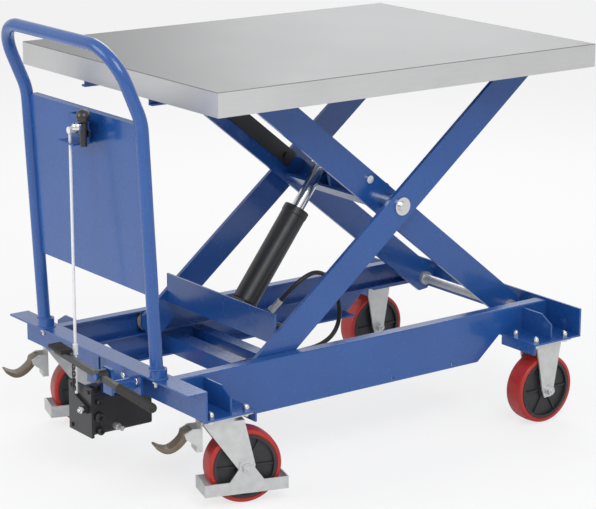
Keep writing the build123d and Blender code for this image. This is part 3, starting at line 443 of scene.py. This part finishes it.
tyre_red = Finish("red_polyurethane", (0.42, 0.016, 0.012), 0.36, Coat_Weight=0.15)
tyre_red.tint(tyre_red.noise(18, 4), (0.34, 0.012, 0.009), (0.50, 0.022, 0.015))
tyre_red.rough(tyre_red.noise(70) * 0.25 + 0.26)
tyre_red.bump(tyre_red.noise(240), 0.12, 0.0005)
for kind in ("fixed", "swivel"):
    for side in ("left", "right"):
        coat_node(f"{kind}_wheel_core_{side}", core)
        coat_node(f"{kind}_tyre_{side}", tyre_red)

# ------------------------------------------------------------------ push handle
# One round tube, 34 mm across, bent twice on each side and welded into the foot sockets. A bolt
# from under the beam holds each foot.

HANDLE_Y = 283
HANDLE_RADIUS = 0.017
HANDLE_LEG = [(-686, 329), (-720, 994), (-800, 1183)]
HANDLE_BENDS = [0.16, 0.105, 0.105, 0.16]


def mm(x, y, z):
    """A place in the row frame, in metres, from deck-centred millimetres."""
    return np.array([x, y, z], float) / 1000 + np.array(ORIGIN_SHIFT)


def rounded_path(corners, radii, step=0.008):
    """Straight runs joined by tangent arcs.

    An arc starts radius * tan(half turn) before its corner and turns about the centre that lies
    radius / cos(half turn) from the corner on the inner bisector.
    """
    stretches = [corners[0][None]]
    for before, corner, after, radius in zip(corners, corners[1:], corners[2:], radii):
        inward = (before - corner) / np.linalg.norm(before - corner)
        outward = (after - corner) / np.linalg.norm(after - corner)
        half = (math.pi - math.acos(np.clip(inward @ outward, -1, 1))) / 2
        middle = inward + outward
        centre = corner + middle / np.linalg.norm(middle) * radius / math.cos(half)
        start = corner + inward * radius * math.tan(half) - centre
        finish_arm = corner + outward * radius * math.tan(half) - centre
        share = np.linspace(0, 1, max(6, int(2 * half * radius / step)))[:, None]
        arc = (np.sin((1 - share) * 2 * half) * start + np.sin(share * 2 * half) * finish_arm)
        stretches.append(centre + arc / math.sin(2 * half))
    stretches.append(corners[-1][None])
    return np.vstack(stretches)


leg = [mm(x, HANDLE_Y, z) for x, z in HANDLE_LEG]
other_leg = [mm(x, -HANDLE_Y, z) for x, z in reversed(HANDLE_LEG)]
handle_ring = carried_ring(rounded_path(leg + other_leg, HANDLE_BENDS), circle(HANDLE_RADIUS, 36))
handle = grid_piece("push_handle_tube", handle_ring, enamel, wrap_v=True, caps=True)
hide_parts("push_handle")
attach(handle, "base frame")


def stepped(wide, high, tip, reach, start=0):
    """Profile of a head and a thinner end: two straight steps as (along, radius) pairs."""
    return [(start, 0), (start, wide), (high, wide), (high, tip), (reach, tip), (reach, 0)]


def lathe(name, profile, place, axis, finish, body, sides=40, round_off=0):
    """A profile of (along, radius) pairs turned about an axis through a place.

    With sides of 6 the same turn gives a hexagon, so nuts and bolts use it too. The ends close
    on the axis where the profile's radius is nothing.
    """
    axis = np.array(axis, float)
    axis /= np.linalg.norm(axis)
    first = np.cross(axis, (0.31, 0.11, 0.94))
    first /= np.linalg.norm(first)
    second = np.cross(axis, first)
    along, radius = np.array(profile, float).T
    step = np.linspace(0, 2 * math.pi, sides, endpoint=False)
    ring = np.cos(step)[:, None] * first + np.sin(step)[:, None] * second
    points = np.asarray(place) + along[:, None, None] * axis + radius[:, None, None] * ring[None]
    piece = grid_piece(name, points, finish, wrap_v=True)
    if sides == 6:
        piece.data.polygons.foreach_set("use_smooth", np.zeros(len(piece.data.polygons), bool))
    solid_of(piece)
    if round_off:
        edge = piece.modifiers.new("edge", "BEVEL")
        edge.width = round_off
        edge.segments = 2
    if body:
        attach(piece, body)
    return piece


def solid_of(piece):
    """Merge the points that fall together at poles and turn all faces outward."""
    work = bmesh.new()
    work.from_mesh(piece.data)
    bmesh.ops.remove_doubles(work, verts=work.verts, dist=1e-6)
    bmesh.ops.recalc_face_normals(work, faces=work.faces)
    work.to_mesh(piece.data)
    work.free()


def bead(name, centre, radius, thickness, finish, body, axis=(0, 0, 1)):
    """A weld bead: a thin ring whose tube swells and shrinks in ripples as it goes round."""
    axis = np.array(axis, float)
    first = np.cross(axis, (0.31, 0.94, 0.11))
    first /= np.linalg.norm(first)
    second = np.cross(axis, first)
    turn_u = np.linspace(0, 2 * math.pi, 120, endpoint=False)[:, None, None]
    turn_v = np.linspace(0, 2 * math.pi, 10, endpoint=False)[None, :, None]
    tube = thickness * (1 + 0.18 * np.sin(turn_u * 26))
    outward = np.cos(turn_u) * first + np.sin(turn_u) * second
    points = centre + outward * (radius + tube * np.cos(turn_v)) + axis * tube * np.sin(turn_v)
    ring = grid_piece(name, points, finish, wrap_u=True, wrap_v=True)
    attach(ring, body)
    return ring


for side, sign in (("left", -1), ("right", 1)):
    y = sign * HANDLE_Y
    bead(f"handle_weld_{side}", mm(-687, y, 355.5), 0.0178, 0.0026, enamel, "base frame")
    bead(f"socket_weld_{side}", mm(-682, y, 330), 0.0225, 0.0028, enamel, "base frame")
    lathe(f"handle_bolt_{side}", stepped(0.009, 0.007, 0.005, 0.018), mm(-690, y, 324),
          (0, 0, -1), zinc, "base frame", 6, 0.0007)

# ------------------------------------------------------------------ tyres
# Red polyurethane cast round each wheel centre: a nearly flat tread, well rounded shoulders, and
# a fine raised line at the mould's parting. A nut stands on each end of every axle.

CASTER_Y = 387
FIXED_X = 531
SWIVEL_X = -567
SWIVEL_TRAIL = 60
SWIVEL_TURN = math.radians(-17)
AXLE_HEIGHT = 100
NUT_SEAT = 0.047
TYRE_OUTER = 0.1
TYRE_INNER = 0.085
TYRE_HALF = 0.03


def tyre_profile():
    """Half an ellipse-like shoulder each side of a crowned tread, then the bore, as one loop."""
    turn = np.linspace(-math.pi / 2, math.pi / 2, 41)
    across = TYRE_HALF * np.sign(np.sin(turn)) * np.abs(np.sin(turn)) ** 0.55
    crown = TYRE_OUTER - 0.011 * (1 - np.abs(np.cos(turn)) ** 0.42)
    seam = 0.0006 * np.exp(-(across / 0.0012) ** 2)
    outer = np.column_stack([across, crown + seam - 0.0006])
    lip = [(TYRE_HALF, 0.0875), (TYRE_HALF - 0.002, 0.0862), (TYRE_HALF - 0.002, TYRE_INNER),
           (0.002 - TYRE_HALF, TYRE_INNER), (0.002 - TYRE_HALF, 0.0862), (-TYRE_HALF, 0.0875)]
    return np.vstack([outer, lip, outer[:1]])


swivel_axle = (-math.sin(SWIVEL_TURN), math.cos(SWIVEL_TURN), 0)
wheels = []
for side, sign in (("left", -1), ("right", 1)):
    wheels.append(("fixed", side, mm(FIXED_X, sign * CASTER_Y, AXLE_HEIGHT), (0, 1, 0)))
    swivel_x = SWIVEL_X + SWIVEL_TRAIL * math.cos(SWIVEL_TURN)
    swivel_y = sign * CASTER_Y + SWIVEL_TRAIL * math.sin(SWIVEL_TURN)
    wheels.append(("swivel", side, mm(swivel_x, swivel_y, AXLE_HEIGHT), swivel_axle))
for kind, side, centre, axis in wheels:
    wheel_body = f"fixed wheel {side}" if kind == "fixed" else f"swivel wheel {side}"
    tyre = lathe(f"{kind}_tyre_{side}_cast", tyre_profile(), centre, axis, tyre_red, None, 120)
    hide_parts(f"{kind}_tyre_{side}")
    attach(tyre, wheel_body)
    fork_body = "base frame" if kind == "fixed" else f"swivel {side}"
    for face in (-1, 1):
        outward = np.array(axis) * face
        end = "out" if (face > 0) == (side == "right") else "in"
        lathe(f"{kind}_axle_nut_{side}_{end}", stepped(0.0125, 0.0085, 0.006, 0.0135, -0.002),
              centre + outward * NUT_SEAT, outward, zinc, fork_body, 6, 0.0008)

# ------------------------------------------------------------------ brake pedals
# A cast lever on each swivel caster: a hooked nose over its cross pin, a hollow back and an
# upturned toe for the shoe, all its edges rounded. Lacquered bronze brown.

PEDAL_HALF = 0.021
PEDAL_ROUND = 0.0022
PEDAL_NOSE = (-0.152, 0.196)
PEDAL_OUTLINE = [(-12, -6), (-9, 8), (2, 13), (14, 14), (20, 11), (16, 1), (6, -6), (-10, -26),
                 (-30, -40), (-46, -44), (-62, -41), (-84, -24), (-81, -17), (-66, -26),
                 (-50, -31), (-36, -27), (-22, -16)]


def rounded_loop(corners, cuts=3):
    """A closed outline whose corners are cut off a quarter of the way along, again and again."""
    loop = np.array(corners, float)
    for _ in range(cuts):
        following = np.roll(loop, -1, axis=0)
        first = loop * 0.75 + following * 0.25
        second = loop * 0.25 + following * 0.75
        loop = np.stack([first, second], axis=1).reshape(-1, 2)
    return loop


def shrunk(loop, inset):
    """The outline moved inwards along its normals, which are its tangents turned a quarter."""
    tangent = np.roll(loop, -1, axis=0) - np.roll(loop, 1, axis=0)
    tangent /= np.linalg.norm(tangent, axis=1)[:, None]
    return loop + inset * np.column_stack([tangent[:, 1], -tangent[:, 0]])


outline = rounded_loop(PEDAL_OUTLINE) / 1000 + PEDAL_NOSE
quarter = np.linspace(0, math.pi / 2, 5)
insets = PEDAL_ROUND * (1 - np.sin(quarter))
steps = PEDAL_HALF - PEDAL_ROUND * (1 - np.cos(quarter))
across = np.concatenate([-steps, steps[::-1]])
inset_run = np.concatenate([insets, insets[::-1]])
for side, sign in (("left", -1), ("right", 1)):
    rings = []
    for offset, inset in zip(across, inset_run):
        section = shrunk(outline, inset)
        along = section[:, 0] + SWIVEL_TRAIL / 1000
        x = along * math.cos(SWIVEL_TURN) - offset * math.sin(SWIVEL_TURN)
        y = along * math.sin(SWIVEL_TURN) + offset * math.cos(SWIVEL_TURN)
        rings.append(np.column_stack([x, y, section[:, 1]]))
    lever_grid = np.array(rings) + mm(SWIVEL_X, sign * CASTER_Y, 0)
    cast = grid_piece(f"brake_lever_{side}", lever_grid, bronze, wrap_v=True, caps=True)
    solid_of(cast)
    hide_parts(f"brake_pedal_{side}")
    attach(cast, f"brake pedal {side}")

# ------------------------------------------------------------------ release linkage
# The rod's lower end pulls the pump's release arm through a short chain of wire links, and a
# chrome collar closes the lever's grip under the ball knob.

CHAIN_AT = (-780, -27)
CHAIN_TOP = 340
LINK_COUNT = 10
LINK_PITCH = 9.6
LINK_RADIUS = 0.0042
LINK_HALF_SIDE = 0.0028
LINK_WIRE = 0.0016


def chain_link(name, centre, turn_angle):
    """One oval wire link: a racetrack loop of half length 7 mm with a 1.6 mm wire."""
    step = np.linspace(0, 2 * math.pi, 24, endpoint=False)
    across = LINK_RADIUS * np.cos(step)
    rise = LINK_RADIUS * np.sin(step) + np.sign(np.sin(step)) * LINK_HALF_SIDE
    turned = np.column_stack([across * math.cos(turn_angle), across * math.sin(turn_angle), rise])
    loop = turned + centre
    closed = np.vstack([loop, loop[:3]])
    ring = carried_ring(closed, circle(LINK_WIRE, 8))[1:-2]
    link = grid_piece(name, ring, black, wrap_u=True, wrap_v=True)
    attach(link, "release rod")


for number in range(LINK_COUNT):
    centre = mm(*CHAIN_AT, CHAIN_TOP - LINK_PITCH * number)
    chain_link(f"chain_link_{number}", centre, math.pi / 2 * (number % 2) + 0.4)
collar = [(0, 0.0098), (0, 0.013), (0.004, 0.0142), (0.010, 0.0142), (0.0145, 0.012),
          (0.0145, 0.0098), (0, 0.0098)]
lathe("lever_collar", collar, mm(-786.5, -86, 952.5), (0, 0, 1), chrome, "release lever")

# ------------------------------------------------------------------ pump details
# Turned plugs and a test stub stand out of the pump's near side, a bright bolt holds the release
# spindle, black bolts hold its plate and bright bolts stand in the beam.

for number, (x, z, size) in enumerate(((-742, 182, 13), (-738, 143, 11), (-742, 222, 8))):
    plug = [(0, 0), (0, size / 1000), (0.009, size / 1000), (0.012, size * 0.0008),
            (0.012, size * 0.0004), (0.008, size * 0.0004), (0.008, 0)]
    lathe(f"pump_plug_{number}", plug, mm(x, -83, z), (0, -1, 0), black, "base frame", 28)
lathe("pump_test_stub", stepped(0.009, 0.016, 0.0065, 0.034), mm(-690, -83, 148), (0, -1, 0),
      zinc, "base frame", 24)
spindle = [(0, 0), (0, 0.0105), (0.007, 0.0105), (0.009, 0.006), (0.013, 0.006), (0.013, 0)]
lathe("release_spindle_bolt", spindle, mm(-778, -64, 203), (-1, 0, 0), chrome, "release arm",
      6, 0.0008)
for number, (y, z) in enumerate(((-72, 250), (12, 250), (12, 140))):
    lathe(f"pump_plate_bolt_{number}", [(0, 0), (0, 0.006), (0.004, 0.006), (0.005, 0.004), (0.005, 0)],
          mm(-765, y, z), (-1, 0, 0), black, "base frame", 6, 0.0005)
for number, (y, z) in enumerate(((-212, 306), (-150, 306))):
    lathe(f"beam_bolt_{number}", [(0, 0), (0, 0.009), (0.007, 0.009), (0.0085, 0.006), (0.0085, 0)],
          mm(-700, y, z), (-1, 0, 0), chrome, "base frame", 6, 0.0007)

# ------------------------------------------------------------------ pedal sleeve
# A soft black sleeve pushed on the rocker's end: round, with shallow grooves round it, a raised
# ring at its mouth and a domed end.

SLEEVE_RADIUS = 0.0124
GROOVE_DEPTH = 0.0009
GROOVE_COUNT = 14
MOUTH_RING = 0.0008
sleeve_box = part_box("pedal_grip")
sleeve_low = np.array(sleeve_box[0])
sleeve_high = np.array(sleeve_box[1])
sleeve_x = (sleeve_low[0] + sleeve_high[0]) / 2
sleeve_start = np.array([sleeve_x, sleeve_high[1] - 0.001, sleeve_high[2] - 0.013])
sleeve_end = np.array([sleeve_x, sleeve_low[1] + 0.001, sleeve_low[2] + 0.013])


def sleeve_surface(start, end, radius):
    """Profile of the sleeve: its radius less the grooves, where a sine of the length is near its
    crest, plus the mouth ring, all times a quarter circle that closes the last radius of length.
    """
    run = end - start
    length = np.linalg.norm(run)
    share = np.linspace(0, 1, 90)
    along = share * length
    crest = np.sin(along / length * 2 * math.pi * GROOVE_COUNT) > 0.72
    grooves = GROOVE_DEPTH * crest * (share > 0.08) * (share < 0.9)
    dome = np.sqrt(np.clip(1 - (np.clip(along - (length - radius), 0, None) / radius) ** 2, 0, 1))
    width = (radius - grooves + MOUTH_RING * (share < 0.04)) * dome
    return np.column_stack([along, width]), run


profile, run = sleeve_surface(sleeve_start, sleeve_end, SLEEVE_RADIUS)
sleeve = lathe("pedal_sleeve", np.vstack([[0, 0], profile]), sleeve_start, run, rubber, None, 48)
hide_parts("pedal_grip")
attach(sleeve, "pedal")
